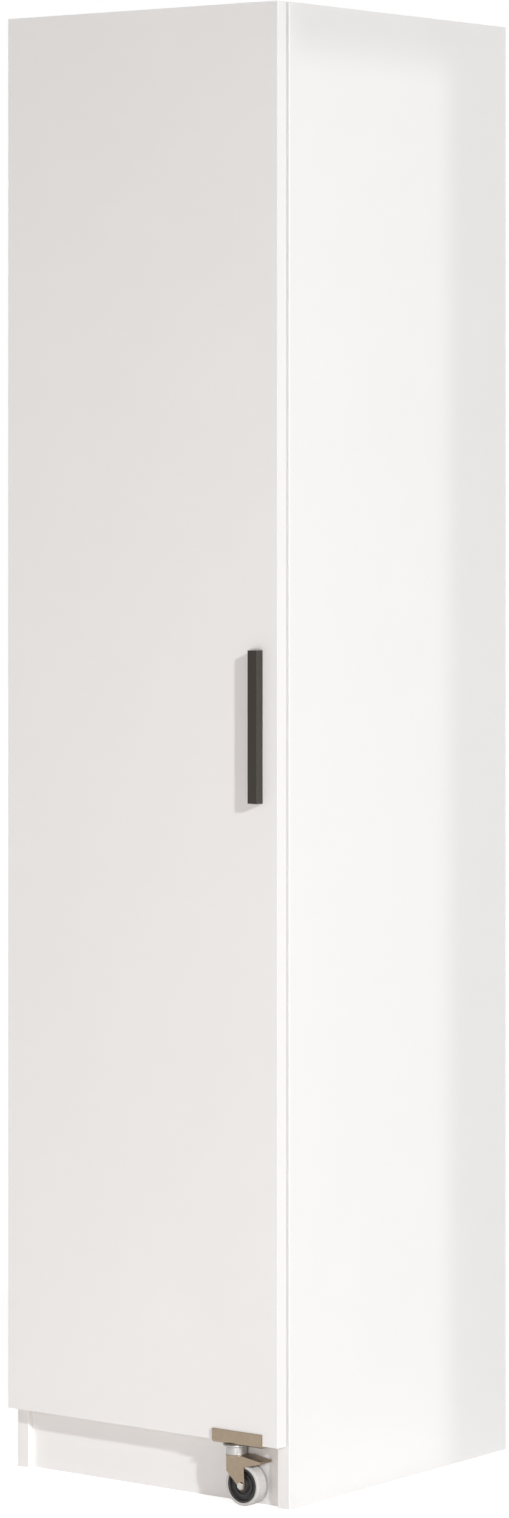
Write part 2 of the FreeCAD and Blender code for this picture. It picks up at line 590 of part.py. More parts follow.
def hinge_cup(label, z):
    """The cup in the door, its flange on the door's back, and a slot that the links fold into."""
    cup = Body(label, "-half_width", "front", z)
    wing = [("cup_centre", "-cup_wing_rise"), ("cup_centre + cup_wing_width", "-cup_wing_rise"),
            ("cup_centre + cup_wing_width", "cup_wing_rise"), ("cup_centre", "cup_wing_rise")]
    narrow, wide = "cheek_inner", "cheek_outer + rivet + swivel_gap"
    slot = [("cup_slot_near", f"-({narrow})"), ("cup_slot_step", f"-({narrow})"),
            ("cup_slot_step", f"-({wide})"), ("cup_slot_far", f"-({wide})"), ("cup_slot_far", wide),
            ("cup_slot_step", wide), ("cup_slot_step", narrow), ("cup_slot_near", narrow)]
    flange_level = "door_gap - cup_flange"
    cup.pad("XZ", Disc("cup_centre", "0", "cup_radius"), "cup_depth", level="door_gap")
    cup.pad("XZ", Disc("cup_centre", "0", "cup_flange_radius"), "cup_flange", level=flange_level)
    cup.pad("XZ", wing, "cup_flange", level=flange_level)
    cup.pocket("XZ", slot, "cup_depth - cup_floor + cup_flange", level="door_gap + cup_depth - cup_floor")
    for way in (-1, 1):
        cup.pocket("XZ", Disc("cup_centre + cup_screw_shift", f"{way} * cup_screw_rise", "cup_screw + fit"),
                   "cup_flange", level="door_gap")
    seat = "cheek_inner + cup_pin_seat"
    cup.pocket("XY", Disc(*long_cup, "link_pin"), seat, level="0")
    cup.pocket("XY", Disc(*short_cup, "link_pin"), seat, level=seat)
    node(cup)


for number, z in enumerate(hinge_heights, start=1):
    hinge_plate(f"hinge_plate_{number}", z)
    hinge_arm(f"hinge_arm_{number}", z)
    hinge_cup(f"hinge_cup_{number}", z)
    hinge_link(f"long_link_{number}", long_arm, long_cup, "long_link_bend", long_cup, "link_pin + fit",
               "-link_outer", z)
    hinge_link(f"short_link_{number}", short_arm, short_cup, "short_link_bend", short_eye,
               "link_pin + eye_play", "link_parting", z)


def hinge_pins(label, low_pin, low_length, low_start, high_pin, high_length):
    pins = []
    for z in hinge_heights:
        pins.append(rod(f"{label}_long", "+z", "link_pin", low_length,
                        f"{low_pin[0]} - half_width", f"front + {low_pin[1]}", f"{z} - ({low_start})"))
        pins.append(rod(f"{label}_short", "+z", "link_pin", high_length,
                        f"{high_pin[0]} - half_width", f"front + {high_pin[1]}", f"{z} + pin_parting"))
    node(group(label, pins))


hinge_pins("arm_pins", long_arm, "2 * (cheek_outer + rivet)", "cheek_outer + rivet",
           short_arm, "cheek_outer + rivet - pin_parting")
hinge_pins("cup_pins", long_cup, "cheek_inner + cup_pin_seat - pin_parting", "cheek_inner + cup_pin_seat",
           short_cup, "cheek_inner + cup_pin_seat - pin_parting")

plate_screw = screw("plate_screw", "plate_screw", "plate_screw_head", "plate_screw_head_height",
                    "plate_screw_length")
arm_screw = screw("arm_screw", "arm_screw", "arm_screw_head", "arm_screw_head_height", "arm_screw_length")
cup_screw = screw("cup_screw", "cup_screw", "cup_screw_head", "cup_screw_head_height", "cup_screw_length")
node(copies("hinge_plate_screws", plate_screw, [
    ("+x", "plate_wing - inner_half", "front + plate_screw_set", z) for z in plate_spots]))
node(copies("hinge_arm_screws", arm_screw, [
    ("+x", "arm_top - half_width", f"front + {v}", z)
    for z in hinge_heights for v in ("arm_screw_front", "arm_screw_back")]))
node(copies("hinge_cup_screws", cup_screw, [
    ("+y", cup_screw_x, "door_back + cup_flange", z) for z in cup_spots]))

# Castor: the bracket under the door, the swivel, the fork and the wheel.
bracket = Body("castor_bracket").pad("YZ", [
    ("bracket_front", "bracket_under"), ("bracket_front + bracket_reach", "bracket_under"),
    ("bracket_front + bracket_reach", "door_bottom"), ("door_front", "door_bottom"),
    ("door_front", "bracket_under + bracket_lip"), ("bracket_front", "bracket_under + bracket_lip")],
    "bracket_length", level="bracket_left")
bracket.round_edges("bracket_bend", lambda edge: abs(edge.tangentAt(0).x) > 0.9
                    and edge.BoundBox.ZMax < value("bracket_under") + 0.1
                    and edge.BoundBox.YMax < value("bracket_front") + 0.1)
bracket.pocket("XY", Disc("kingpin_x", "kingpin_y", "kingpin"), "bracket_sheet", level="door_bottom")
for x in bracket_spots:
    bracket.pocket("XY", Disc(x, door_middle, "bracket_screw + fit"), "bracket_sheet", level="door_bottom")
node(bracket)
bracket_screw = screw("bracket_screw", "bracket_screw", "bracket_screw_head", "bracket_screw_head_height",
                      "bracket_screw_length")
node(copies("bracket_screws", bracket_screw, [
    ("-z", x, door_middle, "bracket_under") for x in bracket_spots]))

swivel = ("kingpin_x", "kingpin_y", "0")
node(Body("kingpin", *swivel).turn([
    ("0", "crown_under - swivel_gap - kingpin_head_height"),
    ("kingpin_head", "crown_under - swivel_gap - kingpin_head_height"),
    ("kingpin_head", "crown_under - swivel_gap"), ("kingpin", "crown_under - swivel_gap"),
    ("kingpin", "door_bottom"), ("0", "door_bottom")]))
race = Body("swivel_race", *swivel).turn([
    ("kingpin", "race_under"), ("race_radius", "race_under"), ("race_radius", "bracket_under"),
    ("kingpin", "bracket_under")])
race.turn(Disc("ball_pitch", "ball_height", "ball_radius"), kind="Groove")
race.round_edges("race_round", lambda edge: edge.Curve.TypeId == "Part::GeomCircle"
                 and abs(edge.Curve.Radius - value("race_radius")) < 1e-6
                 and edge.BoundBox.ZMax < value("race_under") + 0.1)
node(race)
ball_ring = []
for step in range(balls):
    ball = doc.addObject("Part::Sphere", "swivel_ball")
    bind(ball, Radius="ball_radius")
    move(ball, f"kingpin_x + ball_pitch * cos({360 * step / balls})",
         f"kingpin_y + ball_pitch * sin({360 * step / balls})", "ball_height")
    ball_ring.append(ball)
node(group("swivel_balls", ball_ring))
housing = Body("swivel_housing", *swivel).turn([
    ("kingpin + fit", "fork_top"), ("housing_radius", "fork_top"), ("housing_radius", "housing_top"),
    ("kingpin + fit", "housing_top")])
housing.turn(Disc("ball_pitch", "ball_height", "ball_radius + swivel_gap"), kind="Groove")
housing.round_edges("housing_round", lambda edge: edge.Curve.TypeId == "Part::GeomCircle"
                    and abs(edge.Curve.Radius - value("housing_radius")) < 1e-6
                    and edge.BoundBox.ZMin > value("housing_top") - 0.1)
node(housing)

fork = Body("castor_fork", *swivel)
hood_top, hood_under = "fork_top - hood_drop", "fork_top - hood_drop - hood_thickness"
fork.pad("XZ", [
    ("-fork_front", "fork_top"), ("hood_start", "fork_top"), ("hood_end", hood_top),
    ("hood_end", hood_under), ("fork_waist", "fork_waist_height"), ("trail + fork_boss", "wheel_radius"),
    ("trail - fork_boss", "wheel_radius"), ("-fork_front", "fork_heel")], "2 * fork_outer", both=True)
fork.pad("XZ", Disc("trail", "wheel_radius", "fork_boss"), "2 * fork_outer", both=True)
fork.pad("XY", Disc("0", "0", "housing_radius"), "fork_crown", level="crown_under")
fork.pocket("XZ", [
    ("-2 * housing_radius", "0"), ("-2 * housing_radius", "crown_under"), ("hood_start", "crown_under"),
    ("hood_end", hood_under), ("hood_end + overcut", hood_under), ("hood_end + overcut", "0")],
    "2 * fork_gap", both=True)
fork.pocket("XY", Disc("0", "0", "kingpin + fit"), "fork_crown", level="fork_top")
fork.pocket("XZ", Disc("trail", "wheel_radius", "axle_radius"), "4 * fork_outer", both=True)
node(fork)

axle = ("kingpin_x + trail", "kingpin_y", "wheel_radius")
node(Body("axle_bolt", *axle)
     .pad("XZ", hexagon("0", "0", "axle_flats"), "axle_head", level="fork_outer")
     .pad("XZ", Disc("0", "0", "axle_radius"), "2 * fork_outer + axle_head", level="-fork_outer - axle_head"))
node(Body("axle_nut", *axle)
     .pad("XZ", hexagon("0", "0", "axle_flats"), "axle_head", level="-fork_outer - axle_head")
     .pocket("XZ", Disc("0", "0", "axle_radius"), "2 * axle_head", level="-fork_outer + axle_head"))
node(Body("wheel_bush", *axle).turn([
    ("-fork_gap", "axle_radius + fit"), ("fork_gap", "axle_radius + fit"),
    ("fork_gap", "bush_radius"), ("-fork_gap", "bush_radius")], "YZ", "H_Axis"))
rim_foot, boss_foot = "hub_radius - hub_rim - hub_taper", "hub_boss + hub_taper"
half_profile = [("wheel_width / 2", "hub_radius"), ("wheel_width / 2", "hub_radius - hub_rim"),
                ("hub_web / 2", rim_foot), ("hub_web / 2", boss_foot), ("wheel_width / 2", "hub_boss"),
                ("wheel_width / 2", "bush_radius + fit")]
node(Body("wheel_hub", *axle).turn(
    half_profile + [(f"-{y}", radius) for y, radius in reversed(half_profile)], "YZ", "H_Axis"))
corner = "tyre_round * (1 - sqrt(0.5))"
half_tread = [("wheel_width / 2", "hub_radius"), ("wheel_width / 2", "wheel_radius - tyre_round"),
              Via(f"wheel_width / 2 - {corner}", f"wheel_radius - {corner}"),
              ("wheel_width / 2 - tyre_round", "wheel_radius")]
other_tread = [Via(f"-({point.x})", point.y) if isinstance(point, Via) else (f"-({point[0]})", point[1])
               for point in reversed(half_tread)]
node(Body("wheel_tyre", *axle).turn(half_tread + other_tread, "YZ", "H_Axis"))

doc.recompute()
faults = [item.Label for item in doc.Objects if {"Invalid", "Error"} & set(item.State)]
faults += [item.Label for item in nodes if item.Shape.isNull() or not item.Shape.isValid()]
if faults:
    raise RuntimeError(f"these objects did not come out right: {faults}")

os.makedirs("parts", exist_ok=True)
for item in nodes:
    item.Shape.exportStep(f"parts/{item.Label}.step")
print(len(nodes), "nodes")
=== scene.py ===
import math
import bpy
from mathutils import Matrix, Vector


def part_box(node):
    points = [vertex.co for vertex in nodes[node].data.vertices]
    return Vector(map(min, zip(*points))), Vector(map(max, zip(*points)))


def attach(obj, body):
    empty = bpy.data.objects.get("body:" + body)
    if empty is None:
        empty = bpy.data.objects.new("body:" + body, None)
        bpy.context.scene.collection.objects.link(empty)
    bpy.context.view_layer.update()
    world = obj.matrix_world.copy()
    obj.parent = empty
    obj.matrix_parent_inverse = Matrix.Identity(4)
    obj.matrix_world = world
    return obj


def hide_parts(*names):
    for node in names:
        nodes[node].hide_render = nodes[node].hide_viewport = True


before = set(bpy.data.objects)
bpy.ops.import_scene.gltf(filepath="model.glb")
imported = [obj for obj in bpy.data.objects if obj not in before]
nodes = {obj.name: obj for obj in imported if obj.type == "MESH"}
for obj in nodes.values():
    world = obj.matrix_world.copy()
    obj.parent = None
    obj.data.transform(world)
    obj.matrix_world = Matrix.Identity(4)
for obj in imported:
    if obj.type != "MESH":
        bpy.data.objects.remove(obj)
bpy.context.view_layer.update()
mm = 0.001
print("frame loaded")

# Camera: level, standing to the right of the front.
camera = {"place": (3.7769, -4.9315, 1.2658), "azimuth": 37.461, "lens": 117.564, "shift": -0.2040}
bpy.ops.object.camera_add(location=camera["place"],
                          rotation=(math.radians(90), 0, math.radians(camera["azimuth"])))
eye = bpy.context.object
eye.data.lens = camera["lens"]
eye.data.shift_y = camera["shift"]
bpy.context.scene.camera = eye
print("camera set")


# Shader maths in Python's own signs.
class Wire:
    def __init__(self, finish, socket):
        self.finish = finish
        self.socket = socket

    def maths(self, operation, *others):
        return self.finish.add("ShaderNodeMath", {"operation": operation}, dict(enumerate([self, *others])))

    def __add__(self, other):
        return self.maths("ADD", other)

    __radd__ = __add__

    def __mul__(self, other):
        return self.maths("MULTIPLY", other)

    __rmul__ = __mul__

    def __sub__(self, other):
        return self.maths("SUBTRACT", other)

    def __rsub__(self, other):
        return (self * -1).maths("ADD", other)

    def __gt__(self, other):
        return self.maths("GREATER_THAN", other)

    def __lt__(self, other):
        return self.maths("LESS_THAN", other)

    def __abs__(self):
        return self.maths("ABSOLUTE")

    def larger(self, other):
        return self.maths("MAXIMUM", other)

    def clamped(self):
        return self.larger(0).maths("MINIMUM", 1)


socketNames = {"colour": "Base Color", "roughness": "Roughness", "metallic": "Metallic", "normal": "Normal",
               "specular": "Specular IOR Level", "transmission": "Transmission Weight", "ior": "IOR"}


class Finish:
    def __init__(self, name, **constants):
        self.material = bpy.data.materials.new(name)
        self.material.use_nodes = True
        self.tree = self.material.node_tree
        self.shader = self.tree.nodes["Principled BSDF"]
        self.set(**constants)

    def set(self, **given):
        for name, worth in given.items():
            self.join(worth, self.shader.inputs[socketNames[name]])

    def join(self, worth, socket):
        if isinstance(worth, Wire):
            self.tree.links.new(worth.socket, socket)
        else:
            socket.default_value = worth

    def add(self, kind, settings, sockets, out=0):
        node = self.tree.nodes.new(kind)
        for name, setting in settings.items():
            if name == "stops":
                ramp = node.color_ramp.elements
                while len(ramp) < len(setting):
                    ramp.new(1)
                for stop, (place, colour) in zip(ramp, setting):
                    stop.position, stop.color = place, (*colour, 1)
            else:
                setattr(node, name, setting)
        for place, worth in sockets.items():
            self.join(worth, node.inputs[place])
        return Wire(self, node.outputs[out])

    def place(self):
        return self.add("ShaderNodeTexCoord", {}, {}, "Object")

    def part(self, vector, axis):
        return self.add("ShaderNodeSeparateXYZ", {}, {0: vector}, axis)

    def facing(self, axis):
        return self.part(self.add("ShaderNodeTexCoord", {}, {}, "Normal"), axis)

    def stretched(self, scale):
        return self.add("ShaderNodeMapping", {}, {"Vector": self.place(), "Scale": scale})

    def noise(self, size, detail=2, stretch=(1, 1, 1)):
        return self.add("ShaderNodeTexNoise", {}, {"Vector": self.stretched(stretch), "Scale": 1 / size,
                                                   "Detail": detail})

    def mix(self, factor, first, second):
        first, second = [worth if isinstance(worth, Wire) else (*worth, 1) for worth in (first, second)]
        return self.add("ShaderNodeMix", {"data_type": "RGBA"}, {0: factor, 6: first, 7: second}, 2)

    def ramp(self, factor, stops):
        return self.add("ShaderNodeValToRGB", {"stops": stops}, {0: factor})

    def bump(self, height, depth):
        return self.add("ShaderNodeBump", {}, {"Height": height, "Distance": depth})

    def light(self, kind):
        return self.add("ShaderNodeLightPath", {}, {}, f"Is {kind} Ray")

    def surface(self, share, first, second):
        # ends a finish in a mix of two shaders
        seen = self.add("ShaderNodeMixShader", {}, {0: share, 1: first, 2: second})
        self.join(seen, self.tree.nodes["Material Output"].inputs["Surface"])
        return self.material


def shade(colour, factor):
    return tuple(part * factor for part in colour)


# Board: melamine on the faces, bare chipboard on the ends that nobody edges.
board = {"white": (0.885, 0.865, 0.838), "cloud": 0.14, "roughness": 0.4, "smear": 0.05, "smearSpread": 0.1,
         "pearl": 0.9 * mm, "pearlDepth": 0.012 * mm, "chip": 2.6 * mm, "chipDepth": 0.12 * mm,
         "dust": 0.7 * mm, "dustShare": 0.35, "grain": 0.35, "bareRoughness": 0.88,
         "chips": [(0, (0.20, 0.12, 0.06)), (0.35, (0.42, 0.28, 0.16)), (0.6, (0.56, 0.41, 0.25)),
                   (1, (0.72, 0.57, 0.38))]}


def boardFinish(name, thin, along, edged=None):
    # white on the two faces that the thin axis crosses, and on the upper end along the edged axis
    finish = Finish(name, specular=0.5)
    face = abs(finish.facing(thin)) > 0.5
    if edged:
        face = face.larger(finish.facing(edged) > 0.5)
    bare = 1 - face
    white = finish.mix(finish.noise(board["cloud"]), shade(board["white"], 0.985),
                       shade(board["white"], 1.01))
    smear = finish.noise(board["smear"], 3, (1, 1, 0.4))
    smooth = board["roughness"] - board["smearSpread"] / 2 + smear * board["smearSpread"]
    stretch = [1, 1, 1]
    stretch["XYZ".index(along)] = board["grain"]
    flakes = finish.add("ShaderNodeTexVoronoi", {}, {"Vector": finish.stretched(stretch),
                                                     "Scale": 1 / board["chip"]}, "Color")
    dust = finish.noise(board["dust"], 3)
    chips = finish.ramp(finish.mix(board["dustShare"], flakes, dust), board["chips"])
    finish.set(colour=finish.mix(face, chips, white),
               roughness=face * smooth + bare * board["bareRoughness"])
    pearl = finish.noise(board["pearl"]) * (face * (board["pearlDepth"] / board["chipDepth"]))
    finish.set(normal=finish.bump(pearl + dust * bare, board["chipDepth"]))
    return finish.material


edging = {"cloud": 0.09, "roughness": 0.3, "smear": 0.03, "smearSpread": 0.08, "grain": 0.5 * mm,
          "depth": 0.008 * mm}


def edgingFinish():
    finish = Finish("edgingWhite", specular=0.5)
    finish.set(colour=finish.mix(finish.noise(edging["cloud"]), board["white"], shade(board["white"], 1.02)),
               roughness=edging["roughness"] + finish.noise(edging["smear"], 3) * edging["smearSpread"],
               normal=finish.bump(finish.noise(edging["grain"], 2, (1, 1, 0.1)), edging["depth"]))
    return finish.material


# Hardboard: white lacquer in front, brown with the press's weave behind.
hardboard = {"pulp": 2.5 * mm, "pulpShare": 0.6, "fibre": 0.35 * mm, "weave": 1.6 * mm, "depth": 0.06 * mm,
             "cloud": 0.12, "roughness": 0.38, "rearRoughness": 0.4, "fibreSpread": 0.06, "fibreShows": 0.08,
             "browns": [(0.25, (0.16, 0.085, 0.04)), (0.5, (0.30, 0.18, 0.095)), (0.75, (0.42, 0.28, 0.16))]}


def hardboardFinish():
    finish = Finish("hardboard", specular=0.4)
    lacquered = finish.facing("Y") < -0.5
    rear = 1 - lacquered
    pulp = finish.noise(hardboard["pulp"], 5)
    fibres = finish.noise(hardboard["fibre"], 3, (1, 1, 0.3))
    brown = finish.ramp(pulp * hardboard["pulpShare"] + fibres * (1 - hardboard["pulpShare"]),
                        hardboard["browns"])
    place = finish.place()
    turn = 2 * math.pi / hardboard["weave"]
    weave = (finish.part(place, "X") * turn).maths("SINE") * (finish.part(place, "Z") * turn).maths("SINE")
    white = finish.mix(finish.noise(hardboard["cloud"]), shade(board["white"], 0.95),
                       shade(board["white"], 0.98))
    relief = rear * (weave * 0.5 + fibres) + lacquered * fibres * hardboard["fibreShows"]
    finish.set(colour=finish.mix(lacquered, brown, white),
               roughness=hardboard["roughness"] + rear * hardboard["rearRoughness"]
               + fibres * hardboard["fibreSpread"],
               normal=finish.bump(relief, hardboard["depth"]))
    return finish.material


# Metals: fine drawn lines and faint clouds; grain stretches the lines.
metal = {"line": 0.4 * mm, "lineShare": 0.6, "cloud": 7 * mm}


def metalFinish(name, colour, roughness, grain=(1, 1, 1), spread=0.1, depth=0.006 * mm, clouds=0.12):
    finish = Finish(name, metallic=1)
    lines = finish.noise(metal["line"], 3, grain)
    cloud = finish.noise(metal["cloud"], 3)
    uneven = lines * metal["lineShare"] + cloud * (1 - metal["lineShare"])
    finish.set(colour=finish.mix(cloud, shade(colour, 1 - clouds), shade(colour, 1 + clouds)),
               roughness=roughness - spread / 2 + uneven * spread,
               normal=finish.bump(lines, depth))
    return finish.material


# Plastics, lacquer and wood: a fine speckle and faint clouds.
plastic = {"cloud": 9 * mm, "speckleSpread": 0.1}


def plasticFinish(name, colour, roughness, speckle, depth, clouds=0.06, specular=0.5):
    finish = Finish(name, specular=specular)
    grain = finish.noise(speckle, 3)
    finish.set(colour=finish.mix(finish.noise(plastic["cloud"], 3), shade(colour, 1 - clouds),
                                 shade(colour, 1 + clouds)),
               roughness=roughness + grain * plastic["speckleSpread"], normal=finish.bump(grain, depth))
    return finish.material


# The castor's axle and the foot of its swivel, in metres.
axle = (0.154, -0.2195, 0.025)
swivel = (0.139, -0.2195, 0)

tyre = {"clean": ((0.57, 0.545, 0.52), (0.63, 0.605, 0.58)), "cloud": 8 * mm, "worn": (0.33, 0.31, 0.29),
        "wornShare": 0.3, "treadFrom": 24.4 * mm, "scuff": 2.2 * mm, "scuffFrom": 0.45, "scuffGain": 5,
        "roughness": 0.5, "scuffSpread": 0.15, "treadRougher": 0.1, "grain": 0.5 * mm, "depth": 0.02 * mm}


def tyreFinish():
    # worn only on the tread, told by its distance from the axle
    finish = Finish("tyreGrey", specular=0.45)
    place = finish.place()
    across = finish.part(place, "X") - axle[0]
    above = finish.part(place, "Z") - axle[2]
    tread = (across * across + above * above).maths("SQRT") > tyre["treadFrom"]
    scuff = finish.noise(tyre["scuff"], 5)
    worn = tread * ((scuff - tyre["scuffFrom"]) * tyre["scuffGain"]).clamped()
    clean = finish.mix(finish.noise(tyre["cloud"]), *tyre["clean"])
    finish.set(colour=finish.mix(worn * tyre["wornShare"], clean, tyre["worn"]),
               roughness=tyre["roughness"] + scuff * tyre["scuffSpread"] + tread * tyre["treadRougher"],
               normal=finish.bump(finish.noise(tyre["grain"], 3), tyre["depth"]))
    return finish.material


rubber = {"clearness": 0.75, "ior": 1.45, "tints": ((0.86, 0.86, 0.84), (0.92, 0.92, 0.91)), "cloud": 2 * mm,
          "roughness": 0.18, "speckle": 0.6 * mm, "speckleSpread": 0.1}


def clearFinish():
    finish = Finish("clearRubber", transmission=rubber["clearness"], ior=rubber["ior"], specular=0.5)
    finish.set(colour=finish.mix(finish.noise(rubber["cloud"]), *rubber["tints"]),
               roughness=rubber["roughness"] + finish.noise(rubber["speckle"], 3) * rubber["speckleSpread"])
    return finish.material


finishes = {
    "side": boardFinish("boardSide", "X", "Z", edged="Z"),
    "level": boardFinish("boardLevel", "Z", "X"),
    "upright": boardFinish("boardUpright", "Y", "X"),
    "edging": edgingFinish(),
    "hardboard": hardboardFinish(),
    "handle": plasticFinish("darkLacquer", (0.017, 0.012, 0.004), roughness=0.3, speckle=0.35 * mm,
                            depth=0.012 * mm, specular=0.75),
    "castorSteel": metalFinish("castorSteel", (0.38, 0.305, 0.223), roughness=0.36, grain=(0.04, 1, 1)),
    "steel": metalFinish("zincSteel", (0.60, 0.58, 0.55), roughness=0.3, grain=(1, 1, 0.2)),
    "nickel": metalFinish("nickelSteel", (0.66, 0.63, 0.58), roughness=0.24, grain=(1, 0.08, 1)),
    "chrome": metalFinish("chromeSteel", (0.78, 0.78, 0.78), roughness=0.08, spread=0.05, depth=0.002 * mm,
                          clouds=0.03),
    "satin": metalFinish("satinChrome", (0.52, 0.505, 0.49), roughness=0.4, spread=0.06, depth=0.002 * mm,
                         clouds=0.05),
    "cast": metalFinish("castZinc", (0.42, 0.41, 0.40), roughness=0.5, depth=0.03 * mm),
    "hub": plasticFinish("blackNylon", (0.030, 0.027, 0.026), roughness=0.4, speckle=0.5 * mm,
                         depth=0.015 * mm, clouds=0.15),
    "tyre": tyreFinish(),
    "clear": clearFinish(),
    "beech": plasticFinish("beechWood", (0.55, 0.38, 0.22), roughness=0.6, speckle=0.6 * mm,
                           depth=0.03 * mm, clouds=0.12),
}
print("finishes made")


# Working with pieces.
def activate(piece):
    bpy.ops.object.select_all(action="DESELECT")
    piece.select_set(True)
    bpy.context.view_layer.objects.active = piece


def edit(piece, kind, wanted):
    # goes into edit mode with only the wanted items selected
    activate(piece)
    bpy.ops.object.mode_set(mode="EDIT")
    bpy.ops.mesh.select_mode(type=kind)
    bpy.ops.mesh.select_all(action="DESELECT")
    bpy.ops.object.mode_set(mode="OBJECT")
    items = {"VERT": piece.data.vertices, "EDGE": piece.data.edges, "FACE": piece.data.polygons}[kind]
    for item in items:
        item.select = wanted(item)
    bpy.ops.object.mode_set(mode="EDIT")


def leave():
    bpy.ops.object.mode_set(mode="OBJECT")


def settle(piece):
    activate(piece)
    bpy.ops.object.transform_apply(location=True, rotation=True, scale=True)
    return piece


def turnTo(way):
    return Vector(way).to_track_quat("Z", "Y").to_euler()


def raised(piece, place, way=(0, 0, 1)):
    piece.rotation_euler = turnTo(way)
    piece.location = place
    return settle(piece)


def block(name, low, high):
    low, high = Vector(low), Vector(high)
    bpy.ops.object.select_all(action="DESELECT")
    bpy.ops.mesh.primitive_cube_add(size=1, location=(low + high) / 2, scale=high - low)
    piece = bpy.context.object
    piece.name = name
    return settle(piece)


def turned(name, profile, closed=False, segments=64):
    # profile lists radius and height in mm; a closed one comes back to its start as a ring
    radius, height = profile[0]
    bpy.ops.object.select_all(action="DESELECT")
    bpy.ops.mesh.primitive_circle_add(vertices=segments, radius=radius * mm, location=(0, 0, height * mm))
    piece = bpy.context.object
    piece.name = name
    bpy.ops.object.mode_set(mode="EDIT")
    bpy.ops.mesh.select_mode(type="EDGE")
    bpy.ops.mesh.select_all(action="SELECT")
    rings = profile + profile[:1] if closed else profile
    for (radius, height), (nextRadius, nextHeight) in zip(rings, rings[1:]):
        grow = nextRadius / radius
        bpy.ops.mesh.extrude_region_move(TRANSFORM_OT_translate={"value": (0, 0, (nextHeight - height) * mm)})
        bpy.ops.transform.resize(value=(grow, grow, 1), center_override=(0, 0, 0))
    bpy.ops.mesh.select_all(action="SELECT")
    if closed:
        bpy.ops.mesh.remove_doubles(threshold=1e-7)
    else:
        bpy.ops.mesh.fill_holes(sides=0)
    bpy.ops.mesh.normals_make_consistent(inside=False)
    leave()
    return settle(piece)


def bothSides(profile):
    return profile + [(radius, -height) for radius, height in reversed(profile)]


def modify(piece, kind, **settings):
    activate(piece)
    step = piece.modifiers.new(kind.lower(), kind)
    for name, setting in settings.items():
        setattr(step, name, setting)
    bpy.ops.object.modifier_apply(modifier=step.name)
    return piece


def rounded(piece, width, segments=2, angle=35):
    return modify(piece, "BEVEL", width=width, segments=segments, limit_method="ANGLE",
                  angle_limit=math.radians(angle))


def combined(piece, other, operation="DIFFERENCE"):
    modify(piece, "BOOLEAN", object=other, operation=operation, solver="EXACT")
    bpy.data.objects.remove(other)
    return piece


def joined(name, pieces):
    bpy.ops.object.select_all(action="DESELECT")
    for piece in pieces:
        piece.select_set(True)
    bpy.context.view_layer.objects.active = pieces[0]
    bpy.ops.object.join()
    pieces[0].name = name
    return settle(pieces[0])


def twin(master):
    activate(master)
    bpy.ops.object.duplicate()
    return bpy.context.object


def copied(name, master, spots):
    # each spot is a place in metres and the way that the master's own Z turns to
    made = []
    for place, way in spots:
        one = twin(master)
        one.rotation_euler = turnTo(way)
        one.location = place
        made.append(one)
    bpy.data.objects.remove(master)
    return joined(name, made)


def softened(name, node, width, segments=2):
    # a copy of a node's own shape, with its sharp edges eased
    piece = bpy.data.objects.new(name, nodes[node].data.copy())
    bpy.context.scene.collection.objects.link(piece)
    edit(piece, "VERT", lambda item: True)
    bpy.ops.mesh.remove_doubles(threshold=1e-6)
    bpy.ops.mesh.dissolve_limited(angle_limit=math.radians(0.3))
    leave()
    return rounded(piece, width, segments)


def dress(piece, body, slot, finish, *standsFor):
    activate(piece)
    bpy.ops.object.shade_smooth_by_angle(angle=math.radians(35))
    modify(piece, "WEIGHTED_NORMAL", keep_sharp=True)
    piece.data.materials.clear()
    piece.data.materials.append(finishes[finish])
    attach(piece, body)
    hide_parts(*standsFor)


def flat(value, target):
    return abs(value - target) < 1e-5


def middle(node):
    low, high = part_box(node)
    return (low + high) / 2


# Boards, dowels, pins and balls keep the solids' own shape and get a finish.
plainNodes = {"side": ["side_panel_left", "side_panel_right"],
              "level": ["top_panel", "bottom_panel", "fixed_shelf"],
              "upright": ["plinth_board", "rear_plinth_rail", "door_panel"], "hardboard": ["back_panel"],
              "beech": ["dowels"], "steel": ["cam_bolts", "arm_pins", "cup_pins", "wheel_bush"],
              "chrome": ["swivel_balls"]}
for finish, names in plainNodes.items():
    for name in names:
        nodes[name].data.materials.clear()
        nodes[name].data.materials.append(finishes[finish])
print("boards and pins finished")

# Edge bands with an eased arris.
band = {"thick": 1 * mm, "doorArris": 0.35 * mm, "carcassArris": 0.95 * mm, "side": 18 * mm}


def edgeBand(low, high, axis, out, arris):
    # the edges at the outer level, on the side that out names, are eased
    strip = block("band", low, high)
    level = high[axis] if out > 0 else low[axis]

    def outer(edge):
        return all(flat(strip.data.vertices[end].co[axis], level) for end in edge.vertices)

    edit(strip, "EDGE", outer)
    bpy.ops.mesh.bevel(offset=arris, segments=3)
    leave()
    return strip


def doorBands():
    low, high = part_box("door_edging")
    thick, arris = band["thick"], band["doorArris"]
    strips = [edgeBand(low, (low.x + thick, high.y, high.z), 0, -1, arris),
              edgeBand((high.x - thick, low.y, low.z), high, 0, 1, arris),
              edgeBand((low.x + thick, low.y, high.z - thick), (high.x - thick, high.y, high.z), 2, 1, arris),
              edgeBand((low.x + thick, low.y, low.z), (high.x - thick, high.y, low.z + thick), 2, -1, arris)]
    dress(joined("doorBands", strips), "door", "white_edging", "edging", "door_edging")


def carcassBands():
    low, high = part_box("carcass_edging")
    thick, side, arris = band["thick"], band["side"], band["carcassArris"]
    strips = [edgeBand(low, (low.x + side, low.y + thick, high.z), 1, -1, arris),
              edgeBand((high.x - side, low.y, low.z), (high.x, low.y + thick, high.z), 1, -1, arris)]
    for name in ("bottom_panel", "fixed_shelf", "top_panel"):
        start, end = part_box(name)
        strips.append(edgeBand((start.x, start.y - thick, start.z), (end.x, start.y, end.z), 1, -1, arris))
    dress(joined("carcassBands", strips), "carcass", "white_edging", "edging", "carcass_edging")


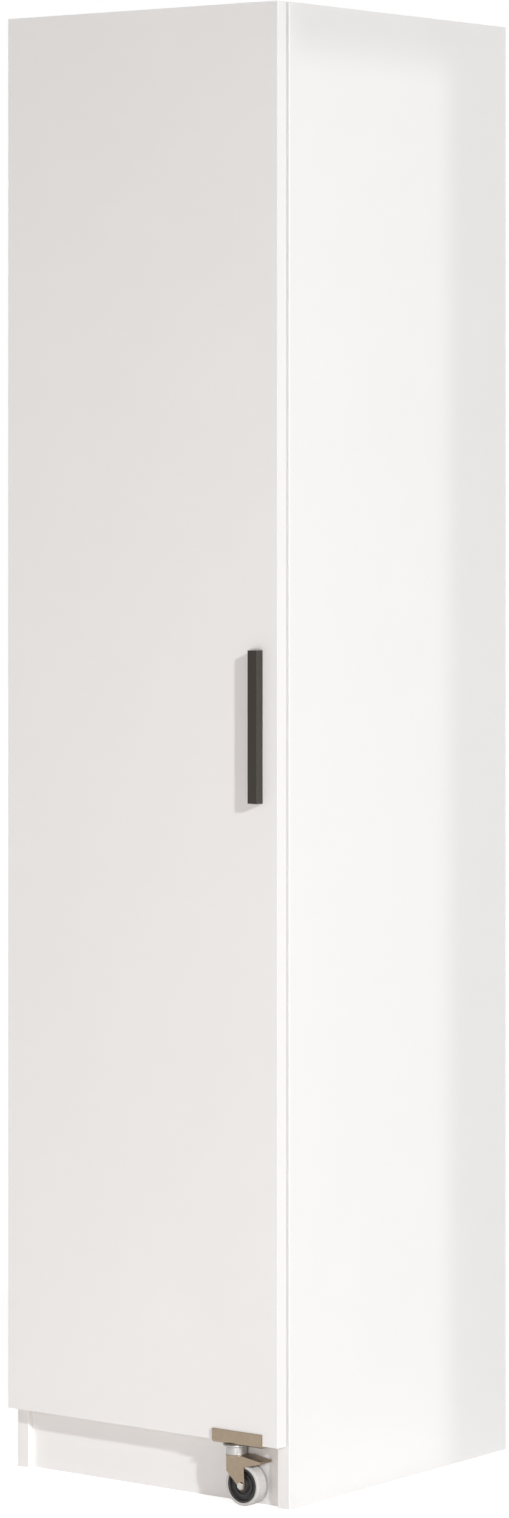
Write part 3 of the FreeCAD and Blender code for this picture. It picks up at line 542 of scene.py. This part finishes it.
doorBands()
carcassBands()
print("edge bands made")

# Bar handle, open behind for the fingers from the hinge side.
handle = {"wall": 4 * mm, "face": 3 * mm, "block": 20 * mm, "hollowCorner": 2 * mm, "arris": 0.4 * mm,
          "overcut": 5 * mm}


def barHandle():
    low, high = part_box("handle")
    bar = block("barHandle", low, high)
    hollow = block("hollow",
                   (low.x - handle["overcut"], low.y + handle["face"], low.z + handle["block"]),
                   (high.x - handle["wall"], high.y + handle["overcut"], high.z - handle["block"]))
    rounded(hollow, handle["hollowCorner"], 4)
    combined(bar, hollow)
    rounded(bar, handle["arris"], 3)
    dress(bar, "door", "dark_bronze", "handle", "handle")


barHandle()
print("handle made")

# Screws: a turned head and shank with a cross recess. The recess is in parts of the head, the rest in mm.
screwShape = {"point": 1.6, "neck": 0.3, "rim": 0.2, "dome": 0.35}
recess = {"width": 0.26, "reach": 0.6, "depth": 0.7, "taper": 0.45}
screwSizes = {"handle": {"shank": 2, "head": 4, "height": 2.4, "length": 25},
              "bracket": {"shank": 2, "head": 3.5, "height": 2, "length": 25},
              "wall": {"shank": 2, "head": 4, "height": 1.8, "length": 14},
              "plate": {"shank": 3.1, "head": 4.5, "height": 1.2, "length": 14.5},
              "arm": {"shank": 2, "head": 4, "height": 1.8, "length": 16},
              "cup": {"shank": 1.75, "head": 3.2, "height": 0.5, "length": 12}}
offCentre = {"handle": 80 * mm, "wall": 12 * mm, "plate": 16 * mm, "cup": 24 * mm}
inset = {"bracket": 6.5 * mm, "wall": 15 * mm}
under = {"wall": 2 * mm, "cup": 1.2 * mm}  # sheet that the head is seated on


def crossCutter(head, height):
    half, top = head * recess["width"] * mm / 2, height * mm
    depth = height * recess["depth"] * mm
    cross = block("cross", (-half, -half, top - depth), (half, half, top + depth))
    edit(cross, "FACE", lambda face: abs(face.normal.z) < 0.5)
    reach = head * recess["reach"] * mm - half
    bpy.ops.mesh.extrude_faces_move(TRANSFORM_OT_shrink_fatten={"value": reach})
    leave()
    edit(cross, "VERT", lambda vertex: vertex.co.z < top)
    bpy.ops.transform.resize(value=(recess["taper"], recess["taper"], 1), center_override=(0, 0, 0))
    leave()
    return cross


def screwMaster(shank, head, height, length):
    # heights run up from the face that the head is seated on
    point, neck, rim, dome = [screwShape[part] for part in ("point", "neck", "rim", "dome")]
    profile = [(shank * 0.3, -length), (shank * 0.85, -length + point / 2), (shank, -length + point),
               (shank, -neck), (shank + 0.2, 0), (head - 0.15, 0), (head, rim), (head, height * (1 - dome)),
               (head * 0.9, height * (1 - dome * 0.45)), (head * 0.68, height * (1 - dome * 0.1)),
               (head * 0.3, height)]
    return combined(turned("screw", profile, segments=32), crossCutter(head, height))


def screws(name, node, spots, size, body):
    dress(copied(name, screwMaster(**screwSizes[size]), spots), body, "steel", "steel", node)


# Places read off the solids' boxes.
hingeHeights = [middle(f"hinge_arm_{number}").z for number in (1, 2, 3, 4)]
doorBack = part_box("door_panel")[1].y
doorMiddle = middle("door_panel").y
grip = middle("handle")
bracketLow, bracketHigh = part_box("castor_bracket")
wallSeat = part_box("wall_bracket")[1].y - inset["wall"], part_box("top_panel")[0].z - under["wall"]
plateScrews, cupScrews = middle("hinge_plate_screws"), middle("hinge_cup_screws")
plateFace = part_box("hinge_plate_screws")[1].x - screwSizes["plate"]["height"] * mm
armLow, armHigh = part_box("hinge_arm_screws")
armFace = armHigh.x - screwSizes["arm"]["height"] * mm
armHead = screwSizes["arm"]["head"] * mm

screws("handleScrews", "handle_screws",
       [((grip.x, doorBack, grip.z + way * offCentre["handle"]), (0, 1, 0)) for way in (-1, 1)],
       "handle", "door")
screws("bracketScrews", "bracket_screws",
       [((x, doorMiddle, bracketLow.z), (0, 0, -1))
        for x in (bracketLow.x + inset["bracket"], bracketHigh.x - inset["bracket"])], "bracket", "door")
screws("wallScrews", "wall_bracket_screws",
       [((way * offCentre["wall"], *wallSeat), (0, 0, -1)) for way in (-1, 1)], "wall", "carcass")
screws("plateScrews", "hinge_plate_screws",
       [((plateFace, plateScrews.y, z + way * offCentre["plate"]), (1, 0, 0))
        for z in hingeHeights for way in (-1, 1)], "plate", "carcass")
screws("armScrews", "hinge_arm_screws",
       [((armFace, y, z), (1, 0, 0))
        for z in hingeHeights for y in (armLow.y + armHead, armHigh.y - armHead)], "arm", "carcass")
screws("cupScrews", "hinge_cup_screws",
       [((cupScrews.x, doorBack + under["cup"], z + way * offCentre["cup"]), (0, 1, 0))
        for z in hingeHeights for way in (-1, 1)], "cup", "door")
print("screws made")

# Cam locks: a drum with a cross slot in its face and a mouth for the bolt. The drum is in mm.
cam = {"radius": 7.4, "height": 13.5, "ease": 0.5, "rim": 1.4, "neck": 0.4,
       "slot": 1.6 * mm, "slotReach": 4.5 * mm, "slotDepth": 2.5 * mm,
       "mouth": 3.4, "mouthLength": 12, "mouthStart": -0.5 * mm, "mouthLevel": 9 * mm, "inset": 50 * mm}


def camDrum():
    radius, height, ease, rim, neck = [cam[part] for part in ("radius", "height", "ease", "rim", "neck")]
    drum = turned("drum", [(radius - ease, 0), (radius, ease), (radius, rim), (radius - neck, rim + 0.2),
                           (radius - neck, height - neck), (radius - 2 * neck, height)], segments=48)
    half, depth = cam["slot"] / 2, cam["slotDepth"]
    slot = block("slot", (-half, -half, -depth), (half, half, depth))
    edit(slot, "FACE", lambda face: abs(face.normal.z) < 0.5)
    bpy.ops.mesh.extrude_faces_move(TRANSFORM_OT_shrink_fatten={"value": cam["slotReach"] - half})
    leave()
    combined(drum, slot)
    mouth = turned("mouth", [(cam["mouth"], 0), (cam["mouth"], cam["mouthLength"])], segments=32)
    mouth.rotation_euler.y = math.radians(90)
    mouth.location = (cam["mouthStart"], 0, cam["mouthLevel"])
    return combined(drum, settle(mouth))


def camLocks():
    # mouths point to the side panels
    drum = camDrum()
    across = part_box("cam_locks")[1].x - cam["radius"] * mm
    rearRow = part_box("back_panel")[0].y - cam["inset"]
    made = []
    for name in ("bottom_panel", "fixed_shelf", "top_panel"):
        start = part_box(name)[0]
        frontRow = start.y - band["thick"] + cam["inset"]
        for way in (-1, 1):
            for y in (frontRow, rearRow):
                one = twin(drum)
                one.rotation_euler.z = 0 if way > 0 else math.pi
                one.location = (way * across, y, start.z)
                made.append(one)
    bpy.data.objects.remove(drum)
    dress(joined("camLocks", made), "carcass", "zinc", "cast", "cam_locks")


camLocks()
print("cam locks made")

# Hinges and wall bracket: pressed parts with eased edges.
pressed = [("hingePlate", "hinge_plate", "carcass", "cast", 0.5 * mm),
           ("hingeArm", "hinge_arm", "carcass", "nickel", 0.3 * mm),
           ("hingeCup", "hinge_cup", "door", "nickel", 0.3 * mm),
           ("longLink", "long_link", "long_links", "nickel", 0.25 * mm),
           ("shortLink", "short_link", "short_links", "nickel", 0.25 * mm)]
for number in (1, 2, 3, 4):
    for name, node, body, finish, ease in pressed:
        dress(softened(f"{name}{number}", f"{node}_{number}", ease), body, "nickel", finish,
              f"{node}_{number}")
dress(softened("wallBracket", "wall_bracket", 0.3 * mm), "carcass", "steel", "steel", "wall_bracket")
print("hinges made")

# Soft bumpers on the door's back, in mm.
bumper = [(4.6, 0), (5, 0.3), (5, 0.8), (4.7, 1.5), (4, 2.1), (2.9, 2.5), (1.5, 2.68), (0.4, 2.7)]


def bumpers():
    low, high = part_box("door_bumpers")
    radius = max(point[0] for point in bumper) * mm
    spots = [(((low.x + high.x) / 2, doorBack, z), (0, 1, 0)) for z in (low.z + radius, high.z - radius)]
    dress(copied("bumpers", turned("dome", bumper, segments=40), spots),
          "door", "clear_rubber", "clear", "door_bumpers")


bumpers()
print("bumpers made")

# Castor bracket: bent sheet.
bracket = {"sheet": 2.5 * mm, "bend": 2.2 * mm, "deburr": 0.35 * mm}


def castorBracket():
    half = bracket["sheet"] / 2
    low, high = bracketLow, bracketHigh
    front, level = low.y + half, low.z + half
    bpy.ops.object.select_all(action="DESELECT")
    bpy.ops.mesh.primitive_plane_add(size=1, location=((low.x + high.x) / 2, (front + high.y) / 2, level))
    sheet = bpy.context.object
    sheet.name = "castorBracket"
    sheet.scale = (high.x - low.x, high.y - front, 1)
    settle(sheet)

    def inFront(edge):
        return all(flat(sheet.data.vertices[end].co.y, front) for end in edge.vertices)

    def folded(edge):
        return inFront(edge) and all(flat(sheet.data.vertices[end].co.z, level) for end in edge.vertices)

    edit(sheet, "EDGE", inFront)
    bpy.ops.mesh.extrude_region_move(TRANSFORM_OT_translate={"value": (0, 0, high.z - level)})
    leave()
    edit(sheet, "EDGE", folded)
    bpy.ops.mesh.bevel(offset=bracket["bend"], segments=6)
    bpy.ops.mesh.select_all(action="SELECT")
    bpy.ops.mesh.normals_make_consistent(inside=False)
    leave()
    modify(sheet, "SOLIDIFY", thickness=bracket["sheet"], offset=0, use_even_offset=True)
    rounded(sheet, bracket["deburr"], 2, 60)
    dress(sheet, "door", "zinc", "castorSteel", "castor_bracket")


castorBracket()
print("castor bracket made")

# Swivel: the upper race with its rolled lip, the drum under it, and the riveted kingpin, all in mm.
race = [(4, 69.8), (8.06, 69.8), (7.85, 70.6), (8.33, 71.77), (9.5, 72.25), (10.67, 71.77), (11.15, 70.6),
        (10.94, 69.8), (15.2, 69.8), (15.8, 70.1), (16, 70.7), (16, 71.6), (15.7, 72.3), (15.2, 72.7),
        (14.6, 73.0), (14.3, 73.5), (4, 73.5)]
drum = [(4.05, 60), (12.2, 60), (12.5, 60.3), (12.5, 68.3), (12.3, 69), (11.8, 69.5), (11.05, 69.5),
        (10.6, 69.05), (9.5, 68.7), (8.4, 69.05), (7.95, 69.5), (4.05, 69.5)]
pin = [(5.6, 54.8), (6.6, 55.2), (7, 55.9), (7, 56.7), (6.8, 57.2), (4, 57.2), (4, 76)]

dress(raised(turned("swivelRace", race, closed=True), swivel), "door", "chrome", "satin", "swivel_race")
dress(raised(turned("swivelDrum", drum, closed=True), swivel),
      "castor_fork", "chrome", "satin", "swivel_housing")
dress(raised(turned("swivelPin", pin, segments=48), swivel), "door", "steel", "steel", "kingpin")
dress(softened("castorFork", "castor_fork", 0.45 * mm, 3),
      "castor_fork", "zinc", "castorSteel", "castor_fork")
print("swivel made")

# Wheel: nylon hub with moulded rings, and a crowned tyre with its mould line. Half of each, in mm.
hubSide = [(21, 8.8), (20.7, 9), (18.8, 9), (18.4, 8.7), (17.6, 5.2), (17.2, 4.9), (14.2, 4.9), (13.9, 5.2),
           (13.7, 6.4), (13.4, 6.6), (11.6, 6.6), (11.3, 6.4), (11.0, 5.2), (10.7, 4.9), (9.5, 4.9),
           (9.1, 5.2), (8.3, 8.6), (8, 9), (5.6, 9), (5.05, 8.6)]
tyreSide = [(21, 8.5), (21.3, 8.9), (22, 9), (22.6, 9), (23.4, 8.9), (24.1, 8.4), (24.6, 7.6), (24.85, 6.4),
            (24.95, 4.5), (24.98, 0.35), (25, 0.2)]

dress(raised(turned("wheelHub", bothSides(hubSide), closed=True, segments=72), axle, (0, -1, 0)),
      "castor_wheel", "black_plastic", "hub", "wheel_hub")
dress(raised(turned("wheelTyre", bothSides(tyreSide), closed=True, segments=96), axle, (0, -1, 0)),
      "castor_wheel", "grey_tyre", "tyre", "wheel_tyre")
print("wheel made")

# Axle: chamfered hexagon heads, in mm. Reach is from the wheel's middle to the fork's outer face.
axleParts = {"flats": 8, "head": 1.8, "dome": 4.75, "chamfer": 0.6, "crown": 3.8, "dish": 2.6,
             "dishDepth": 0.3, "shank": 3, "ease": 0.5, "fit": 0.05, "reach": 11.2}


def hexHead(name):
    height = axleParts["head"]
    bpy.ops.object.select_all(action="DESELECT")
    bpy.ops.mesh.primitive_cylinder_add(vertices=6, radius=axleParts["flats"] * mm / math.sqrt(3),
                                        depth=height * mm, location=(0, 0, height / 2 * mm))
    head = settle(bpy.context.object)
    head.name = name
    dome = turned("dome", [(axleParts["dome"], -0.1), (axleParts["dome"], height - axleParts["chamfer"]),
                           (axleParts["crown"], height), (1, height)], segments=48)
    return combined(head, dome, "INTERSECT")


def axleBolt():
    height, radius, ease = axleParts["head"], axleParts["shank"], axleParts["ease"]
    head = hexHead("head")
    combined(head, turned("dish", [(axleParts["dish"], height - axleParts["dishDepth"]),
                                   (axleParts["dish"] + 0.2, height + 1)], segments=32))
    tail = -2 * axleParts["reach"] - height
    shank = turned("shank", [(radius - ease, tail), (radius, tail + ease), (radius, ease)], segments=32)
    bolt = joined("axleBolt", [head, shank])
    reach = Vector((0, axleParts["reach"] * mm, 0))
    dress(raised(bolt, Vector(axle) - reach, (0, -1, 0)), "castor_fork", "steel", "steel", "axle_bolt")
    bore = radius + axleParts["fit"]
    nut = combined(hexHead("axleNut"), turned("bore", [(bore, -1), (bore, 4)], segments=32))
    dress(raised(nut, Vector(axle) + reach, (0, 1, 0)), "castor_fork", "steel", "steel", "axle_nut")


axleBolt()
print("axle made")

# Studio. Dim gives how bright the room is that metal mirrors.
studio = {"floor": (0.86, 0.85, 0.84), "whiteShare": 0.65, "white": 1.33, "ambient": 0.285,
          "warm": (1, 0.962, 0.963), "cool": (0.928, 0.965, 1), "dimLevel": 0.3, "dimWay": (0.42, 0.56)}
suns = {"main": {"way": (0.86, -0.356, 0.365), "energy": 2.1, "size": 2.5, "colour": studio["cool"]},
        "rear": {"way": (-0.75, 0.55, 0.12), "energy": 1.3, "size": 12, "colour": studio["warm"]}}
lamps = {"fill": {"place": (1.4, -2.7, 0.6), "aim": (0, 0, 0.7), "size": 0.5, "energy": 23.5},
         "low": {"place": (0, -0.65, 0.06), "aim": (0, -0.22, 0.05), "size": 0.3, "energy": 0.1}}


# Floor, white to the camera but keeping the shadow.
def floorFinish():
    finish = Finish("floorPale", roughness=0.9, specular=0.2)
    finish.set(colour=finish.mix(finish.noise(1.5), studio["floor"], shade(studio["floor"], 1.01)))
    glow = finish.add("ShaderNodeEmission", {}, {"Color": (1, 1, 1, 1), "Strength": studio["white"]})
    seen = finish.light("Camera").larger(finish.light("Glossy")).larger(finish.light("Transmission"))
    return finish.surface(seen * studio["whiteShare"], Wire(finish, finish.shader.outputs[0]), glow)


bpy.ops.object.select_all(action="DESELECT")
bpy.ops.mesh.primitive_plane_add(size=30)
floor = bpy.context.object
floor.name = "floor"
floor.data.materials.append(floorFinish())

world = bpy.data.worlds.new("studio")
bpy.context.scene.world = world
world.use_nodes = True


class WorldFinish(Finish):
    def __init__(self):
        self.tree = world.node_tree


# The room, white to the camera; what metal mirrors of it is dimmer towards the front left.
sky = WorldFinish()
direction = sky.add("ShaderNodeTexCoord", {}, {}, "Generated")
across, along = studio["dimWay"]
dimmed = (sky.part(direction, "X") * across + sky.part(direction, "Y") * along + studio["dimLevel"]).clamped()
backdrop = sky.light("Camera").larger(sky.light("Glossy").larger(sky.light("Transmission")) * dimmed)
background = world.node_tree.nodes["Background"].inputs
sky.join(backdrop * (1 - studio["ambient"]) + studio["ambient"], background["Strength"])
sky.join(sky.mix(backdrop, studio["warm"], (1, 1, 1)), background["Color"])


def sunLamp(way, energy, size, colour):
    bpy.ops.object.light_add(type="SUN", rotation=turnTo(way))
    lamp = bpy.context.object
    lamp.data.energy = energy
    lamp.data.angle = math.radians(size)
    lamp.data.color = colour


def softLamp(name, place, aim, size, energy):
    bpy.ops.object.light_add(type="AREA", location=place, rotation=turnTo(Vector(place) - Vector(aim)))
    lamp = bpy.context.object
    lamp.name = name
    lamp.data.size = size
    lamp.data.energy = energy
    lamp.data.color = studio["warm"]
    lamp.visible_camera = False


for settings in suns.values():
    sunLamp(**settings)
for name, settings in lamps.items():
    softLamp(name, **settings)

# A thin scrim softens the main sun on the rear of the right side, along its top and on the floor beside it.
# Each panel is two corners of its shade on the side's own plane, y and z.
scrim = {"stand": 1.25, "share": 0.23, "panels": [((0.12, -1), (0.72, 3)), ((-0.2105, 1.745), (0.12, 3)),
                                                  ((-0.6, -1), (0.12, 0))]}


def scrimFinish():
    finish = Finish("scrimGauze", roughness=1, specular=0)
    finish.set(colour=finish.mix(finish.noise(0.2), (0.2, 0.2, 0.2), (0.22, 0.22, 0.22)))
    clear = finish.add("ShaderNodeBsdfTransparent", {}, {})
    return finish.surface(scrim["share"], clear, Wire(finish, finish.shader.outputs[0]))


def scrimPanel(low, high):
    # cast back along the sun's way to where the scrim stands
    way = Vector(suns["main"]["way"]) / suns["main"]["way"][0]
    shift = way * (scrim["stand"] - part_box("side_panel_right")[1].x)
    place = (scrim["stand"], (low[0] + high[0]) / 2 + shift.y, (low[1] + high[1]) / 2 + shift.z)
    bpy.ops.object.select_all(action="DESELECT")
    bpy.ops.mesh.primitive_plane_add(size=1, location=place, rotation=(0, math.radians(90), 0))
    panel = bpy.context.object
    panel.scale = (high[1] - low[1], high[0] - low[0], 1)
    return panel


gauze = joined("scrim", [scrimPanel(low, high) for low, high in scrim["panels"]])
gauze.data.materials.append(scrimFinish())
gauze.visible_camera = gauze.visible_diffuse = gauze.visible_glossy = gauze.visible_transmission = False
bpy.context.scene.view_settings.view_transform = "Standard"
print("studio lit")
